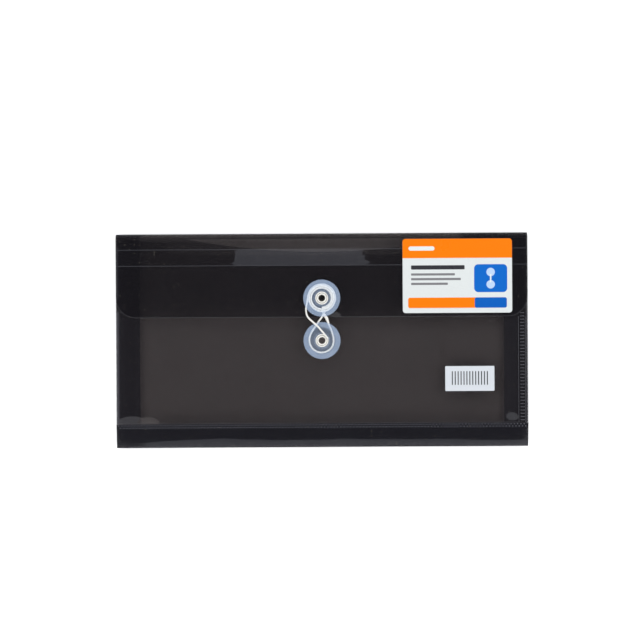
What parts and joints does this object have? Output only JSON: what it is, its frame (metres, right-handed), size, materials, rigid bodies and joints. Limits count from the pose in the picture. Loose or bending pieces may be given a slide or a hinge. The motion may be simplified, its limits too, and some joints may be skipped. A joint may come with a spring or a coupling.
{
  "type": "string tie envelope",
  "caption": "Flat see-through sheet envelope with side and bottom gussets, a fold-over flap and a string tie wound between two turning button discs.",
  "frame": {"origin": "middle of the envelope's outline, on its back face", "axes": "+X along the long side, +Y towards the flap's fold, +Z out of the front face"},
  "size_m": [0.254, 0.132, 0.0102],
  "materials": {
    "smoke_sheet": "smoke-tinted translucent polypropylene sheet, satin gloss",
    "button_disc": "milky clear moulded plastic",
    "eyelet_metal": "nickel-plated rolled eyelet",
    "washer_plastic": "clear plastic washer",
    "string_cord": "white round string",
    "header_print": "glossy printed sticker in white, orange and blue",
    "price_paper": "white paper sticker"
  },
  "bodies": {
    "back": {"back_panel": "smoke_sheet"},
    "left_gusset_rear": {"left_gusset_rear": "smoke_sheet"},
    "left_gusset_front": {"left_gusset_front": "smoke_sheet"},
    "front": {"front_panel": "smoke_sheet", "right_seam_margin": "smoke_sheet", "lower_eyelet": "eyelet_metal", "lower_backing_washer": "washer_plastic", "price_label": "price_paper"},
    "right_gusset_rear": {"right_gusset_rear": "smoke_sheet"},
    "right_gusset_front": {"right_gusset_front": "smoke_sheet"},
    "bottom_gusset_rear": {"bottom_gusset_rear": "smoke_sheet"},
    "bottom_gusset_front": {"bottom_gusset_front": "smoke_sheet", "bottom_seam_margin": "smoke_sheet"},
    "fold": {"flap_fold": "smoke_sheet"},
    "flap": {"flap": "smoke_sheet", "upper_eyelet": "eyelet_metal", "upper_backing_washer": "washer_plastic", "header_label": "header_print", "string_winding": "string_cord", "string_tail": "string_cord", "string_loop": "string_cord", "string_knot": "string_cord"},
    "upper_disc": {"upper_disc": "button_disc"},
    "lower_disc": {"lower_disc": "button_disc"}
  },
  "joints": [
    {"name": "pocket_expand", "type": "hinge", "parent": "back", "child": "left_gusset_rear", "pos_m": [-0.1269, 0, 0.0001], "axis": [0, -1, 0], "range_deg": [0, 48.99]},
    {"name": "left_inner_fold", "type": "hinge", "parent": "left_gusset_rear", "child": "left_gusset_front", "pos_m": [-0.11233, 0, 0.0027], "axis": [0, 1, 0], "range_deg": [0, 121.98]},
    {"name": "left_front_fold", "type": "hinge", "parent": "left_gusset_front", "child": "front", "pos_m": [-0.1269, 0, 0.0053], "axis": [0, -1, 0], "range_deg": [0, 60.99]},
    {"name": "right_rear_fold", "type": "hinge", "parent": "back", "child": "right_gusset_rear", "pos_m": [0.1269, 0, 0.0001], "axis": [0, 1, 0], "range_deg": [0, 60.99]},
    {"name": "right_inner_fold", "type": "hinge", "parent": "right_gusset_rear", "child": "right_gusset_front", "pos_m": [0.11233, 0, 0.0027], "axis": [0, -1, 0], "range_deg": [0, 121.98]},
    {"name": "bottom_rear_fold", "type": "hinge", "parent": "back", "child": "bottom_gusset_rear", "pos_m": [0, -0.05133, 0.0001], "axis": [-1, 0, 0], "range_deg": [0, 60.99]},
    {"name": "bottom_outer_fold", "type": "hinge", "parent": "bottom_gusset_rear", "child": "bottom_gusset_front", "pos_m": [0, -0.0659, 0.0027], "axis": [1, 0, 0], "range_deg": [0, 121.98]},
    {"name": "flap_lift", "type": "slide", "parent": "back", "child": "fold", "axis": [0, 0, 1], "range_m": [0, 0.031], "deforming": ["flap_fold", "string_loop"]},
    {"name": "flap_open", "type": "hinge", "parent": "fold", "child": "flap", "pos_m": [0, 0.06523, 0.00563], "axis": [-1, 0, 0], "range_deg": [0, 170]},
    {"name": "upper_disc_spin", "type": "hinge", "parent": "flap", "child": "upper_disc", "pos_m": [0, 0.026, 0.009], "axis": [0, 0, 1], "continuous": true},
    {"name": "lower_disc_spin", "type": "hinge", "parent": "front", "child": "lower_disc", "pos_m": [0, -0.0001, 0.008], "axis": [0, 0, 1], "continuous": true}
  ],
  "couplings": [
    {"joint": "left_inner_fold", "follows": "pocket_expand", "ratio": 2},
    {"joint": "left_front_fold", "follows": "pocket_expand", "ratio": 1},
    {"joint": "right_rear_fold", "follows": "pocket_expand", "ratio": 1},
    {"joint": "right_inner_fold", "follows": "pocket_expand", "ratio": 2},
    {"joint": "bottom_rear_fold", "follows": "pocket_expand", "ratio": 1},
    {"joint": "bottom_outer_fold", "follows": "pocket_expand", "ratio": 2},
    {"joint": "flap_lift", "follows": "pocket_expand", "m_per_rad": 0.02914}
  ]
}
